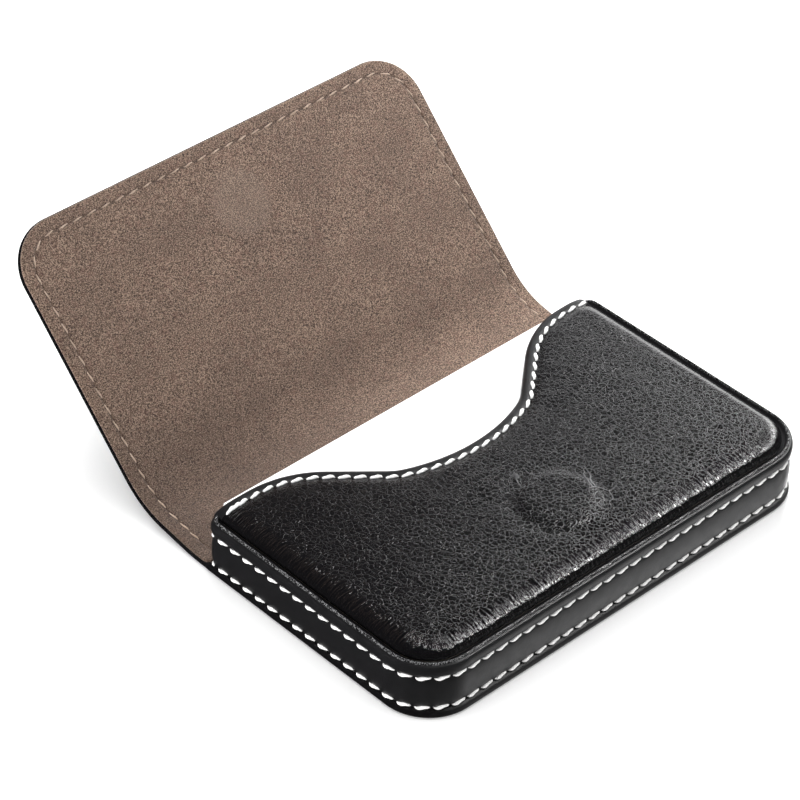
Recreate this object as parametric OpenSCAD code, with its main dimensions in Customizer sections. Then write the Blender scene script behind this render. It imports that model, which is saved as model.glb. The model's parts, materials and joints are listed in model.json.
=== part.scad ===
// Business card case: a padded leather box with a scalloped mouth on one long side,
// and a magnetic flap that folds over it on a leather spine.
// The case lies on its back. X runs along the mouth, +Y points out of the mouth and
// +Z out of the front panel. The origin is the centre of the back face.

/* [Case] */
// Length of the case along its mouth
case_len = 104; // [102:1:112]
// Depth of the case from its mouth to its closed long side
case_depth = 60; // [58:1:64]
// Radius of the two closed corners, seen from the front
corner_r = 10.4; // [9:0.2:12]
// Free height of the pocket between its linings
pocket_h = 9; // [9:0.1:10]

/* [Materials] */
// Thickness of the leather
leather_t = 0.6; // [0.5:0.1:0.6]
// Thickness of the greyboard stiffeners
board_t = 0.8; // [0.8:0.1:1]
// Thickness of the suede lining
lining_t = 0.4; // [0.3:0.1:0.5]
// Thickness of the foam under the front panel
foam_t = 2.2; // [1.8:0.1:2.4]
// Thickness of the side frame's wall
frame_t = 1.1; // [1:0.1:1.2]

/* [Mouth] */
// Depth of the scallop at its middle
notch_depth = 17.9; // [16:0.1:19]
// Radius of the scallop's floor
notch_floor_r = 40; // [36:1:44]
// Radius of the bend from the floor to the flank
notch_bend_r = 10.7; // [9:0.1:12]
// Radius of the rounded shoulder beside the scallop
notch_shoulder_r = 23.3; // [20:0.1:24]
// Slope at the end of the floor, in degrees
notch_floor_angle = 22; // [20:1:24]
// Slope of the flanks, in degrees
notch_flank_angle = 41; // [38:1:42]
// Width of the smooth band along the mouth
binding_w = 2.4; // [2:0.1:2.6]

/* [Flap] */
// Length of the flap from its fold to its free edge
flap_len = 58; // [56:0.5:60]
// Distance from the mouth to the spine's fold
spine_offset = 4.1; // [4.1:0.1:5]
// Angle of the spine above the table, in degrees
spine_angle = 9; // [2:1:20]
// Angle between the spine and the flap, in degrees
flap_angle = 36.5; // [20:0.5:50]
// Distance from the flap's edge to its seam
flap_seam_inset = 3; // [2.5:0.1:3.5]

/* [Magnets] */
// Diameter of the two magnet discs
magnet_d = 13; // [10:0.5:14]
// Distance from the mouth to the front magnet's centre
front_magnet_y = 41.6; // [38:0.1:43]
// Distance from the flap's fold to its magnet's centre
flap_magnet_y = 44.9; // [43:0.1:48]

/* [Cards] */
// Length of a card
card_len = 90; // [85:1:90]
// Width of a card
card_w = 54; // [50:1:54]
// Thickness of one card
card_t = 0.4; // [0.3:0.01:0.4]
// Number of cards in the pocket
card_count = 21; // [1:1:21]
// How far the cards stand out of the mouth
card_proud = 3; // [1:0.1:3]

/* [Hidden] */
$fn = 64;

half = case_len / 2;
mouth_y = case_depth / 2;
closed_y = -case_depth / 2;
past = 1;

// Layers of the sheet that makes the back, the spine and the flap
sheet_t = leather_t + board_t + lining_t;
fold_r = sheet_t / 2;
fold_gap = 0.2;
thread_gap = 0.6;
fold_y = mouth_y + spine_offset;
sheet_end_y = fold_y - fold_r - fold_gap;

// Distances in from the outline of the closed sides
strip_in = 0.5;
frame_in = strip_in + leather_t;
lining_in = frame_in + frame_t;
pocket_in = lining_in + lining_t;
ridge_in = 0.9;
groove_in = 1.9;
puff_in = 2.2;
puff_r = foam_t + 0.1;
frame_end_y = mouth_y - leather_t;

// Heights above the back face
board_z = leather_t;
lining_z = board_z + board_t;
pocket_z = sheet_t;
pocket_top_z = pocket_z + pocket_h;
front_board_z = pocket_top_z + lining_t;
foam_z = front_board_z + board_t;
skin_z = foam_z + foam_t;
top_z = skin_z + leather_t;
ridge_z = foam_z + 1;
groove_z = foam_z + 0.4;
binding_top_z = top_z - 0.5;
lower_lip_z = 2.4;
upper_lip_z = 10.1;
bump_t = 0.25;
bump_r = 7.6;

// The spine is as long as the closed flap's height above the back sheet
spine_len = top_z + bump_t + 0.25;

// Seams
thread_r = 0.25;
seam_gap = 0.45;
stitch_len = 2.6;
stitch_pitch = 3.5;
flap_thread_r = 0.2;
thread_groove_r = 0.26;
// The outer thread is sunk in the leather, and the inner one lies on the lining
outer_thread_z = flap_thread_r - fold_r;
inner_thread_z = flap_thread_r + fold_r;

// Cards lie on the back lining, a hair apart
card_pitch = card_t + 0.02;
card_z = pocket_z + 0.1;

// ---------- outlines ----------

// Points on an arc about c, from angle a0 to a1
function arc(c, r, a0, a1, n) =
    [for (i = [0 : n]) let (a = a0 + (a1 - a0) * i / n) [c.x + r * cos(a), c.y + r * sin(a)]];

// Flat plate with two square corners at y_near and two round ones at y_far, below it
module plate(plate_half, y_near, y_far, r) {
    translate([-plate_half, y_far + r]) square([2 * plate_half, y_near - y_far - r]);
    translate([r - plate_half, y_far]) square([2 * (plate_half - r), 2 * r]);
    for (side = [-1, 1]) {
        translate([side * (plate_half - r), y_far + r]) circle(r);
    }
}

// The case's outline, moved in on its three closed sides
module case_plate(inset, y_near = mouth_y) {
    plate(half - inset, y_near, closed_y + inset, corner_r - inset);
}

// A wall that follows the three closed sides, and ends just inside the mouth
module closed_wall(inset_out, inset_in, z0, z1) {
    translate([0, 0, z0]) linear_extrude(z1 - z0) difference() {
        case_plate(inset_out, frame_end_y);
        case_plate(inset_in, mouth_y);
    }
}

// Sweeps a profile of (distance in, height) round three sides of a plate
module sweep_sides(plate_half, y_near, y_far, r) {
    straight = y_near - y_far - r;
    for (side = [0, 1]) mirror([side, 0, 0]) {
        translate([plate_half, y_near, 0]) rotate([90, 0, 0])
            linear_extrude(straight) mirror([1, 0]) children();
        translate([plate_half - r, y_far + r, 0]) rotate([0, 0, -90])
            rotate_extrude(angle = 90) translate([r, 0]) mirror([1, 0]) children();
    }
    translate([r - plate_half, y_far, 0]) rotate([90, 0, 90])
        linear_extrude(2 * (plate_half - r)) children();
}

module sweep_case() {
    sweep_sides(half, mouth_y, closed_y, corner_r) children();
}

// ---------- the mouth line ----------

// Where the arcs of the scallop's right half are centred and end
floor_c = [0, mouth_y - notch_depth + notch_floor_r];
bend_c = floor_c + (notch_floor_r - notch_bend_r) * [sin(notch_floor_angle), -cos(notch_floor_angle)];
bend_end = bend_c + notch_bend_r * [sin(notch_flank_angle), -cos(notch_flank_angle)];
shoulder_drop = notch_shoulder_r * (1 - cos(notch_flank_angle));
flank_rise = mouth_y - shoulder_drop - bend_end.y;
shoulder_x = bend_end.x + flank_rise / tan(notch_flank_angle)
    + notch_shoulder_r * sin(notch_flank_angle);
shoulder_c = [shoulder_x, mouth_y - notch_shoulder_r];

// Right half of the mouth line, from the middle out, moved into the panel by inset
function half_mouth(inset) = concat(
    arc(floor_c, notch_floor_r + inset, -90, notch_floor_angle - 90, 8),
    arc(bend_c, notch_bend_r + inset, notch_floor_angle - 90, notch_flank_angle - 90, 4),
    arc(shoulder_c, notch_shoulder_r - inset, 90 + notch_flank_angle, 90, 10)
);
function flip(points) = [for (i = [len(points) - 1 : -1 : 1]) [-points[i].x, points[i].y]];
function mouth_line(inset) = concat(flip(half_mouth(inset)), half_mouth(inset));

// Everything on the open side of the mouth line
module mouth_zone(inset) {
    far = half + past;
    polygon(concat(
        [[-far, mouth_y - inset]], mouth_line(inset),
        [[far, mouth_y - inset], [far, fold_y], [-far, fold_y]]
    ));
}

// The part of a case plate behind the mouth line
module front_plate(inset, mouth_inset) {
    difference() {
        case_plate(inset, mouth_y);
        mouth_zone(mouth_inset);
    }
}

// A strip along the mouth line, between two insets, that stops side_in from each side
module mouth_strip(inset_out, inset_in, z0, z1, side_in) {
    strip_half = half - side_in;
    translate([0, 0, z0]) linear_extrude(z1 - z0) intersection() {
        translate([-strip_half, closed_y]) square([2 * strip_half, case_depth]);
        difference() {
            mouth_zone(inset_in);
            mouth_zone(inset_out);
        }
    }
}

// ---------- places on the folding sheet ----------

module on_spine() {
    translate([0, fold_y, fold_r]) rotate([spine_angle, 0, 0]) children();
}

module on_flap() {
    on_spine() translate([0, spine_len, 0]) rotate([flap_angle, 0, 0]) children();
}

// One layer of the spine, held back from the middle of both folds
module spine_layer(inset, clear, z0, t) {
    translate([inset - half, clear, z0 - fold_r])
        cube([case_len - 2 * inset, spine_len - 2 * clear, t]);
}

// One layer of the flap, round at its free corners
module flap_layer(inset, z0, t) {
    translate([0, 0, z0 - fold_r]) linear_extrude(t) mirror([0, 1])
        plate(half - inset, -fold_r - fold_gap, inset - flap_len, corner_r - inset);
}

// ---------- case ----------

module back_leather() color("#1f1f21") {
    linear_extrude(leather_t) case_plate(frame_in);
    translate([-half, mouth_y, 0]) cube([case_len, sheet_end_y - mouth_y, leather_t]);
    sweep_case() polygon(concat(
        arc([0.9, 0.9], 0.9, 270, 180, 5), arc([0.7, lower_lip_z - 0.7], 0.7, 180, 90, 5),
        [[frame_in, lower_lip_z], [frame_in, 0]]
    ));
}

module back_board() color("#9a8f7d") translate([0, 0, board_z]) {
    linear_extrude(board_t) case_plate(frame_in);
    translate([frame_in - half, mouth_y, 0])
        cube([case_len - 2 * frame_in, sheet_end_y - mouth_y, board_t]);
}

module side_frame() color("#8c8274") {
    closed_wall(frame_in, lining_in, lining_z, front_board_z);
}

// The strip round the closed sides, with a raised rim and a ridge above its upper seam
module side_profile() {
    rim_r = ridge_in;
    polygon(concat(
        [[strip_in, lower_lip_z], [strip_in, upper_lip_z], [0, upper_lip_z + 0.5]],
        arc([rim_r, ridge_z - rim_r], rim_r, 180, 90, 5),
        [[ridge_in + 0.4, ridge_z - 0.2], [groove_in, groove_z], [groove_in, foam_z]],
        [[frame_in, foam_z], [frame_in, lower_lip_z]]
    ));
}

// Leather turned in over the two ends of the frame at the mouth
module side_end() {
    translate([frame_in - half, frame_end_y, pocket_z])
        cube([pocket_in - frame_in, leather_t, pocket_top_z - pocket_z]);
}

module side_leather() color("#2a2a2c") {
    sweep_case() side_profile();
    for (side = [0, 1]) mirror([side, 0, 0]) side_end();
}

module pocket_lining_back() color("#7a6a5c") translate([0, 0, lining_z]) {
    linear_extrude(lining_t) case_plate(lining_in);
    translate([frame_in - half, mouth_y, 0])
        cube([case_len - 2 * frame_in, sheet_end_y - mouth_y, lining_t]);
}

module pocket_lining_sides() color("#75665a") {
    closed_wall(lining_in, pocket_in, pocket_z, pocket_top_z);
}

module pocket_lining_front() color("#75665a") {
    translate([0, 0, pocket_top_z]) linear_extrude(lining_t) front_plate(lining_in, binding_w);
}

module front_board() color("#9a8f7d") {
    translate([0, 0, front_board_z]) linear_extrude(board_t) front_plate(frame_in, leather_t);
}

// Round edge of the foam, as a profile; the leather lies on it
foam_edge_in = puff_in + leather_t;
foam_edge_r = puff_r - leather_t;
foam_edge_c = [puff_in + puff_r, skin_z - foam_edge_r];

module front_foam() color("#d9d4c8") difference() {
    union() {
        translate([0, 0, foam_z]) linear_extrude(foam_t) case_plate(foam_edge_c.x);
        sweep_case() polygon(concat(
            arc(foam_edge_c, foam_edge_r, 90, 180, 6),
            [[foam_edge_in, foam_z], [foam_edge_c.x, foam_z]]
        ));
    }
    translate([0, 0, foam_z - past]) linear_extrude(foam_t + 2 * past) mouth_zone(binding_w);
    translate([0, mouth_y - front_magnet_y, foam_z - past]) cylinder(h = foam_t + 2 * past, d = magnet_d);
}

module front_magnet() color("#b9bcc0") {
    translate([0, mouth_y - front_magnet_y, foam_z]) cylinder(h = foam_t, d = magnet_d);
}

// The front leather's edge, from the groove up over the foam's round edge, as a profile
module front_edge_profile() {
    polygon(concat(
        [[groove_in, foam_z], [groove_in, groove_z], [puff_in, groove_z]],
        arc(foam_edge_c, puff_r, 180, 90, 8),
        arc(foam_edge_c, foam_edge_r, 90, 180, 6),
        [[foam_edge_in, foam_z]]
    ));
}

module front_leather() color("#1c1c1e") {
    difference() {
        union() {
            sweep_case() front_edge_profile();
            translate([0, 0, skin_z]) linear_extrude(leather_t) case_plate(foam_edge_c.x);
        }
        translate([0, 0, foam_z - past]) linear_extrude(top_z - foam_z + 2 * past)
            mouth_zone(binding_w);
    }
    translate([0, mouth_y - front_magnet_y, top_z]) cylinder(h = bump_t, r = bump_r);
}

// Smooth leather turned over the edge of the front board
module mouth_binding() color("#141415") {
    mouth_strip(0, binding_w, foam_z, binding_top_z, groove_in);
    mouth_strip(0, leather_t, pocket_top_z, foam_z, lining_in);
    mouth_strip(leather_t, binding_w, pocket_top_z, front_board_z, lining_in);
}

// ---------- seams of the case ----------

module closed_seam(z) {
    sweep_case() translate([strip_in - thread_r, z]) circle(thread_r, $fn = 16);
}

module upper_seam_thread() color("#f2f0ea") closed_seam(upper_lip_z - seam_gap);

module lower_seam_thread() color("#f2f0ea") closed_seam(lower_lip_z + seam_gap);

// Distance along the mouth seam of each of its points
seam_line = concat(
    [[3 - half, mouth_y - 2]], mouth_line(2), [[half - 3, mouth_y - 2]]
);
seam_run = [
    for (i = 0, s = 0; i < len(seam_line);
        s = s + (i + 1 < len(seam_line) ? norm(seam_line[i + 1] - seam_line[i]) : 0), i = i + 1) s
];
seam_len = seam_run[len(seam_run) - 1];
stitch_count = floor(seam_len / stitch_pitch);
first_stitch = (seam_len - (stitch_count - 1) * stitch_pitch) / 2;
function seam_point(s) = [
    lookup(s, [for (i = [0 : len(seam_line) - 1]) [seam_run[i], seam_line[i].x]]),
    lookup(s, [for (i = [0 : len(seam_line) - 1]) [seam_run[i], seam_line[i].y]])
];

module mouth_seam_thread() color("#f2f0ea") {
    for (i = [0 : stitch_count - 1]) {
        middle = first_stitch + i * stitch_pitch;
        p = seam_point(middle - stitch_len / 2);
        q = seam_point(middle + stitch_len / 2);
        translate([(p.x + q.x) / 2, (p.y + q.y) / 2, binding_top_z + thread_r])
            rotate([0, 90, atan2(q.y - p.y, q.x - p.x)])
                cylinder(h = norm(q - p), r = thread_r, center = true, $fn = 16);
    }
}

// ---------- spine and flap ----------

// A straight line of thread beside each end of the spine
module spine_threads(z, r) {
    clear = fold_r + thread_gap;
    for (side = [-1, 1]) {
        translate([side * (half - flap_seam_inset), clear, z])
            rotate([-90, 0, 0]) cylinder(h = spine_len - 2 * clear, r = r, $fn = 16);
    }
}

module spine_leather() color("#1f1f21") on_spine() difference() {
    union() {
        spine_layer(0, 0, 0, leather_t);
        for (y = [0, spine_len]) {
            translate([-half, y, 0]) rotate([0, 90, 0]) cylinder(h = case_len, r = fold_r);
        }
    }
    spine_threads(outer_thread_z, thread_groove_r);
}

module spine_board() color("#9a8f7d") on_spine() {
    spine_layer(1, 1, board_z, board_t);
}

module spine_lining() color("#7a6a5c") on_spine() {
    spine_layer(0.4, 1, lining_z, lining_t);
}

module spine_outer_thread() color("#f2f0ea") on_spine() {
    spine_threads(outer_thread_z, flap_thread_r);
}

module spine_inner_thread() color("#a8937d") on_spine() {
    spine_threads(inner_thread_z, flap_thread_r);
}

// A line of thread round the flap's three free sides
module flap_threads(z, r) mirror([0, 1, 0]) {
    sweep_sides(
        half - flap_seam_inset, -fold_r - thread_gap, flap_seam_inset - flap_len,
        corner_r - flap_seam_inset
    ) translate([0, z]) circle(r, $fn = 16);
}

module flap_leather() color("#1f1f21") on_flap() difference() {
    flap_layer(0, 0, leather_t);
    flap_threads(outer_thread_z, thread_groove_r);
}

module flap_board() color("#9a8f7d") on_flap() difference() {
    flap_layer(1, board_z, board_t);
    translate([0, flap_magnet_y, 0]) cylinder(h = sheet_t, d = magnet_d, center = true);
}

module flap_magnet() color("#b9bcc0") on_flap() {
    translate([0, flap_magnet_y, board_z - fold_r]) cylinder(h = board_t, d = magnet_d);
}

module flap_lining() color("#7a6a5c") on_flap() flap_layer(0.4, lining_z, lining_t);

module flap_outer_thread() color("#f2f0ea") on_flap() flap_threads(outer_thread_z, flap_thread_r);

module flap_inner_thread() color("#a8937d") on_flap() flap_threads(inner_thread_z, flap_thread_r);

// ---------- cards ----------

module card_stack() color("#f7f7f5") {
    for (i = [0 : card_count - 1]) {
        translate([-card_len / 2, mouth_y + card_proud - card_w, card_z + i * card_pitch])
            cube([card_len, card_w, card_t]);
    }
}

back_leather();
back_board();
side_frame();
side_leather();
pocket_lining_back();
pocket_lining_sides();
pocket_lining_front();
front_board();
front_foam();
front_magnet();
front_leather();
mouth_binding();
upper_seam_thread();
lower_seam_thread();
mouth_seam_thread();
spine_leather();
spine_board();
spine_lining();
spine_outer_thread();
spine_inner_thread();
flap_leather();
flap_board();
flap_magnet();
flap_lining();
flap_outer_thread();
flap_inner_thread();
card_stack();
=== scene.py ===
"""Looks of the business card case: skins, linings, seams, cards, studio."""

import json
import math

import bmesh
import bpy
import numpy as np
from mathutils import Matrix, Vector

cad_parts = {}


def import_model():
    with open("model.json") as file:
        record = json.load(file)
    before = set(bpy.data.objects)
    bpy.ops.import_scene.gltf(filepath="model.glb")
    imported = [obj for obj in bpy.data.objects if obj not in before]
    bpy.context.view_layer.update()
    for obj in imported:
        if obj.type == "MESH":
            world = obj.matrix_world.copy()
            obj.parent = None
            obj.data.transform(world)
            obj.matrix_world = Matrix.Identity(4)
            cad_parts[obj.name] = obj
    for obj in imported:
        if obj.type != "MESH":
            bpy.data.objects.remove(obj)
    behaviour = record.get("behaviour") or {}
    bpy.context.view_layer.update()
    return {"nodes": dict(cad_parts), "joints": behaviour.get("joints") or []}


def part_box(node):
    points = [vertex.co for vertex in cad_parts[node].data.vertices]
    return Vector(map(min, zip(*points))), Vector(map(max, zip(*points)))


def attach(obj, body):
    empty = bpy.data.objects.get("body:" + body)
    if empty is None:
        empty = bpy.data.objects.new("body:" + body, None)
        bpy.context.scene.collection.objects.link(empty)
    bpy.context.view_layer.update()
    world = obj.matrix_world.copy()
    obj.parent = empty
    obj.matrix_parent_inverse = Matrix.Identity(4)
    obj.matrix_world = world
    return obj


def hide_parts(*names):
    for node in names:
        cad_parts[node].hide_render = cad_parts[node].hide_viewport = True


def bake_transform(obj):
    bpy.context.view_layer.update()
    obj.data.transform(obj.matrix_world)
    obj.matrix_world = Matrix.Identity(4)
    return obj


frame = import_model()

# Lengths below are in millimetres, and become metres when a mesh is made
MM = 0.001


def box_mm(name):
    """Lowest and highest corner of a CAD node, in millimetres."""
    low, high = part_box(name)
    return np.array(low) / MM, np.array(high) / MM


def joint_mm(name):
    """Place of a joint's axis, in millimetres."""
    found = next(j for j in frame["joints"] if j["name"] == name)
    return np.array(found["pos_m"]) / MM


# ---------- sizes taken from the frame ----------

side_low, side_high = box_mm("side_leather")
HALF = side_high[0]
MOUTH_Y = side_high[1]
CLOSED_Y = side_low[1]
FOAM_Z = box_mm("front_foam")[0][2]
SKIN_Z = box_mm("front_foam")[1][2]
POCKET_TOP_Z = box_mm("pocket_lining_front")[0][2]
UPPER_SEAM_Z = sum(b[2] for b in box_mm("upper_seam_thread")) / 2
LOWER_SEAM_Z = sum(b[2] for b in box_mm("lower_seam_thread")) / 2
FRONT_MAGNET_Y = sum(b[1] for b in box_mm("front_magnet")) / 2
FOLD_1 = joint_mm("spine_fold")[1:]
FOLD_2 = joint_mm("flap_fold")[1:]
SPINE_LEN = float(np.linalg.norm(FOLD_2 - FOLD_1))
SHEET_T = 2 * FOLD_1[1]
SPINE_ANGLE = math.atan2(*(FOLD_2 - FOLD_1)[::-1])
FLAP_ANGLE = SPINE_ANGLE + math.radians(36.5)
FLAP_LEN = 58.0
CORNER_R = 10.4

# ---------- driving sizes of the looks ----------

LEATHER_T = 0.6
BOARD_IN = 1.1  # how far the boards stop short of the sheet's edge
SWELL = 0.35  # how far the rim swells past the CAD outline
SKEW = 1.3  # how much further out the mouth's right end lies
END_R = 2.8  # round ends of the rim beside the mouth
GROOVE_IN = 1.9  # the groove round the padded front
GROOVE_Z = FOAM_Z + 0.3
PUFF_W, PUFF_H = 6.5, 2.25  # width and height of the padded edge
CROWN = 0.3
BUMP_R, BUMP_H = 7.4, 0.26  # the magnet under the front leather
MOAT_H = 0.09
RIPPLE_H = 0.03
BAND_W = 2.2
BAND_DIP = 0.2  # share of the height that the mouth seam pulls down
GRID = 0.6

STITCH_PITCH, STITCH_LEN = 3.5, 3.0
MOUTH_PITCH, MOUTH_STITCH_LEN = 3.0, 2.65
THREAD_R = 0.35
OUTER_THREAD_R, OUTER_STITCH_LEN = 0.24, 2.6
FINE_THREAD_R, FINE_STITCH_LEN = 0.16, 2.45
SLANT, FLAP_SLANT = math.radians(7), math.radians(5)
MOUTH_TACKS = (2.9, 4.5)  # extra stitches where the mouth seam ends
FLAP_SEAM_IN = 3.0
SEAM_DROP = 0.4  # how much lower the lower side seam lies
SEAM_PULL = 0.12  # how far a needle hole pulls the leather in

BEND_1, BEND_2 = 3.0, 6.0  # half lengths of the two bends of the sheet
FLAP_MAGNET_RUN = 43.9  # from the second fold to the flap's magnet


def smoothstep(a, b, x):
    """0 up to a, 1 from b on, with a soft rise between; a may be the larger."""
    t = np.clip((x - a) / (b - a), 0, 1)
    return t * t * (3 - 2 * t)


def bell(x, middle, width):
    return np.exp(-(((x - middle) / width) ** 2))


# ---------- the mouth line ----------

NOTCH_DEPTH = 17.9
FLOOR_R, BEND_R, SHOULDER_R = 40.0, 10.7, 23.3
FLOOR_ANGLE, FLANK_ANGLE = math.radians(22), math.radians(41)


def arc(centre, radius, start, end, per_radian):
    """Points on an arc; how many doesn't hang on the radius, so inset lines match point by point."""
    n = max(2, int(abs(end - start) * per_radian))
    a = np.linspace(start, end, n)
    return np.stack([centre[0] + radius * np.cos(a), centre[1] + radius * np.sin(a)], 1)


def half_mouth(inset):
    """Right half of the mouth line from its middle out, moved into the panel by inset."""
    down = -math.pi / 2
    floor_c = np.array([0, MOUTH_Y - NOTCH_DEPTH + FLOOR_R])
    turn = np.array([math.sin(FLOOR_ANGLE), -math.cos(FLOOR_ANGLE)])
    bend_c = floor_c + (FLOOR_R - BEND_R) * turn
    bend_end = bend_c + BEND_R * np.array([math.sin(FLANK_ANGLE), -math.cos(FLANK_ANGLE)])
    rise = MOUTH_Y - SHOULDER_R * (1 - math.cos(FLANK_ANGLE)) - bend_end[1]
    shoulder_x = bend_end[0] + rise / math.tan(FLANK_ANGLE) + SHOULDER_R * math.sin(FLANK_ANGLE)
    shoulder_c = np.array([shoulder_x, MOUTH_Y - SHOULDER_R])
    floor = arc(floor_c, FLOOR_R + inset, down, down + FLOOR_ANGLE, 80)
    bend = arc(bend_c, BEND_R + inset, down + FLOOR_ANGLE, down + FLANK_ANGLE, 24)
    shoulder = arc(shoulder_c, SHOULDER_R - inset, math.pi / 2 + FLANK_ANGLE, math.pi / 2, 48)
    ramp = np.linspace(bend[-1], shoulder[0], 20)[1:-1]
    shelf = np.linspace(shoulder[-1], [HALF, MOUTH_Y - inset], 26)[1:]
    return np.concatenate([floor, bend[1:], ramp, shoulder, shelf])


def mouth_line(inset):
    """The whole mouth line from left to right; its right shelf lies a little further out."""
    right = half_mouth(inset)
    left = right[:0:-1] * [-1, 1]
    right[:, 1] += SKEW * smoothstep(26, 46, right[:, 0])
    return np.concatenate([left, right])


def mouth_y_at(x, inset):
    line = mouth_line(inset)
    return np.interp(x, line[:, 0], line[:, 1])


def mouth_distance(x, y):
    """Distance from each point to the mouth line."""
    line = mouth_line(0)
    points = np.stack([x, y], 1)
    found = np.empty(len(points))
    for i in range(0, len(points), 4000):
        gap = points[i : i + 4000, None, :] - line[None, :, :]
        found[i : i + 4000] = np.sqrt((gap**2).sum(2).min(1))
    return found


# ---------- the folding sheet ----------


def direction(angle):
    """Unit vector along the sheet, in the y-z plane."""
    return np.stack([np.cos(angle), np.sin(angle)], -1)


def upright(angle):
    """Unit vector square to the sheet, on its suede side."""
    return np.stack([-np.sin(angle), np.cos(angle)], -1)


def sheet_point(x, run, n):
    """A point of the sheet at rest: run along it from the first fold, n above its middle."""
    folds = [
        (0.0, FOLD_1, BEND_1, 0.0, SPINE_ANGLE),
        (SPINE_LEN, FOLD_2, BEND_2, SPINE_ANGLE, FLAP_ANGLE),
    ]
    angle = np.where(run < SPINE_LEN / 2, np.where(run < 0, 0.0, SPINE_ANGLE),
                     np.where(run < SPINE_LEN, SPINE_ANGLE, FLAP_ANGLE))
    base = np.where((run < SPINE_LEN / 2)[:, None], FOLD_1, FOLD_2)
    reach = np.where(run < SPINE_LEN / 2, run, run - SPINE_LEN)
    middle = base + reach[:, None] * direction(angle)
    for fold_run, axis, bend, a0, a1 in folds:
        u = (run - fold_run + bend) / (2 * bend)
        inside = (u > 0) & (u < 1)
        radius = bend / math.tan((a1 - a0) / 2)
        centre = axis - bend * direction(np.array(a0)) + radius * upright(np.array(a0))
        turned = a0 + (a1 - a0) * np.clip(u, 0, 1)
        curved = centre - radius * upright(turned)
        middle = np.where(inside[:, None], curved, middle)
        angle = np.where(inside, turned, angle)
    place = middle + n[:, None] * upright(angle)
    return np.stack([x, place[:, 0], place[:, 1]], 1)


# ---------- mesh building ----------


def make_piece(name, points, quads, material, outward, attributes=None):
    """A smooth mesh from points in millimetres; outward is a direction that most faces look to."""
    mesh = bpy.data.meshes.new(name)
    mesh.from_pydata((points * MM).tolist(), [], quads.tolist())
    for key, values in (attributes or {}).items():
        kind, field = ("FLOAT_VECTOR", "vector") if values.ndim == 2 else ("FLOAT", "value")
        layer = mesh.attributes.new(key, kind, "POINT")
        layer.data.foreach_set(field, values.astype(np.float32).ravel())
    work = bmesh.new()
    work.from_mesh(mesh)
    bmesh.ops.remove_doubles(work, verts=work.verts, dist=2e-6)
    bmesh.ops.dissolve_degenerate(work, edges=work.edges, dist=1e-7)
    bmesh.ops.recalc_face_normals(work, faces=work.faces)
    facing = sum((f.normal * f.calc_area() for f in work.faces), Vector())
    if facing.dot(Vector(outward)) < 0:
        bmesh.ops.reverse_faces(work, faces=work.faces)
    for face in work.faces:
        face.smooth = True
    work.to_mesh(mesh)
    work.free()
    mesh.materials.append(material)
    piece = bpy.data.objects.new(name, mesh)
    bpy.context.scene.collection.objects.link(piece)
    return piece


def flatten(piece):
    """Flat shading, for cut board and paper."""
    for polygon in piece.data.polygons:
        polygon.use_smooth = False


def grid_quads(rows, columns, first):
    """Quads of a grid of points whose numbers start at first."""
    i = np.arange(rows - 1)[:, None] * columns + np.arange(columns - 1)[None, :] + first
    return np.stack([i, i + 1, i + columns + 1, i + columns], -1).reshape(-1, 4)


def join_grids(grids):
    """One list of points and one of quads from grids shaped (rows, columns, values)."""
    points, quads, first = [], [], 0
    for g in grids:
        rows, columns, values = g.shape
        points.append(g.reshape(-1, values))
        quads.append(grid_quads(rows, columns, first))
        first += rows * columns
    return np.concatenate(points), np.concatenate(quads)


def capped(grid, corners=None):
    """A grid of rings with a fan added at each end; corners leaves out a ring's repeated point."""
    middle = grid[:, :corners].mean(1, keepdims=True).repeat(grid.shape[1], 1)
    return np.concatenate([middle[:1], grid, middle[-1:]])


def run_along(path):
    """Distance along a path to each of its points."""
    return np.concatenate([[0], np.cumsum(np.linalg.norm(np.diff(path, axis=0), axis=1))])


def tray(depths, half, far, r, near, columns, rows, corner_steps=20):
    """Grids that cover a plate with two round corners at far.

    Each point is (x, v, depth in from the closed sides, outward x, outward v, run along the rim,
    number of its depth in depths).
    """
    start = far + r
    t = np.linspace(0, 1, rows)[:, None]
    d = np.asarray(depths)[None, :]
    k = np.arange(len(depths))[None, :]
    grids = []

    def add(*values):
        grids.append(np.stack(np.broadcast_arrays(*values), -1).astype(float))

    for side in (-1, 1):
        x = side * (half - d)
        v = start + t * (near(x) - start)
        add(x, v, d, side, 0, side * (half - r + r * math.pi / 2 + v - start), k)
        turn = np.linspace(0, math.pi / 2, corner_steps)[:, None]
        out_x, out_v = side * np.sin(turn), -np.cos(turn)
        x = side * (half - r) + (r - d) * out_x
        add(x, start + (r - d) * out_v, d, out_x, out_v, side * (half - r + r * turn), k)
    x = np.linspace(r - half, half - r, columns)[None, :]
    add(x, far + d.T, d.T, 0, -1, x, k.T)
    v = start + t * (near(x) - start)
    add(x, v, np.minimum(half - np.abs(x), v - far), 0, 0, x, len(depths) - 1)
    return join_grids(grids)


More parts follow.
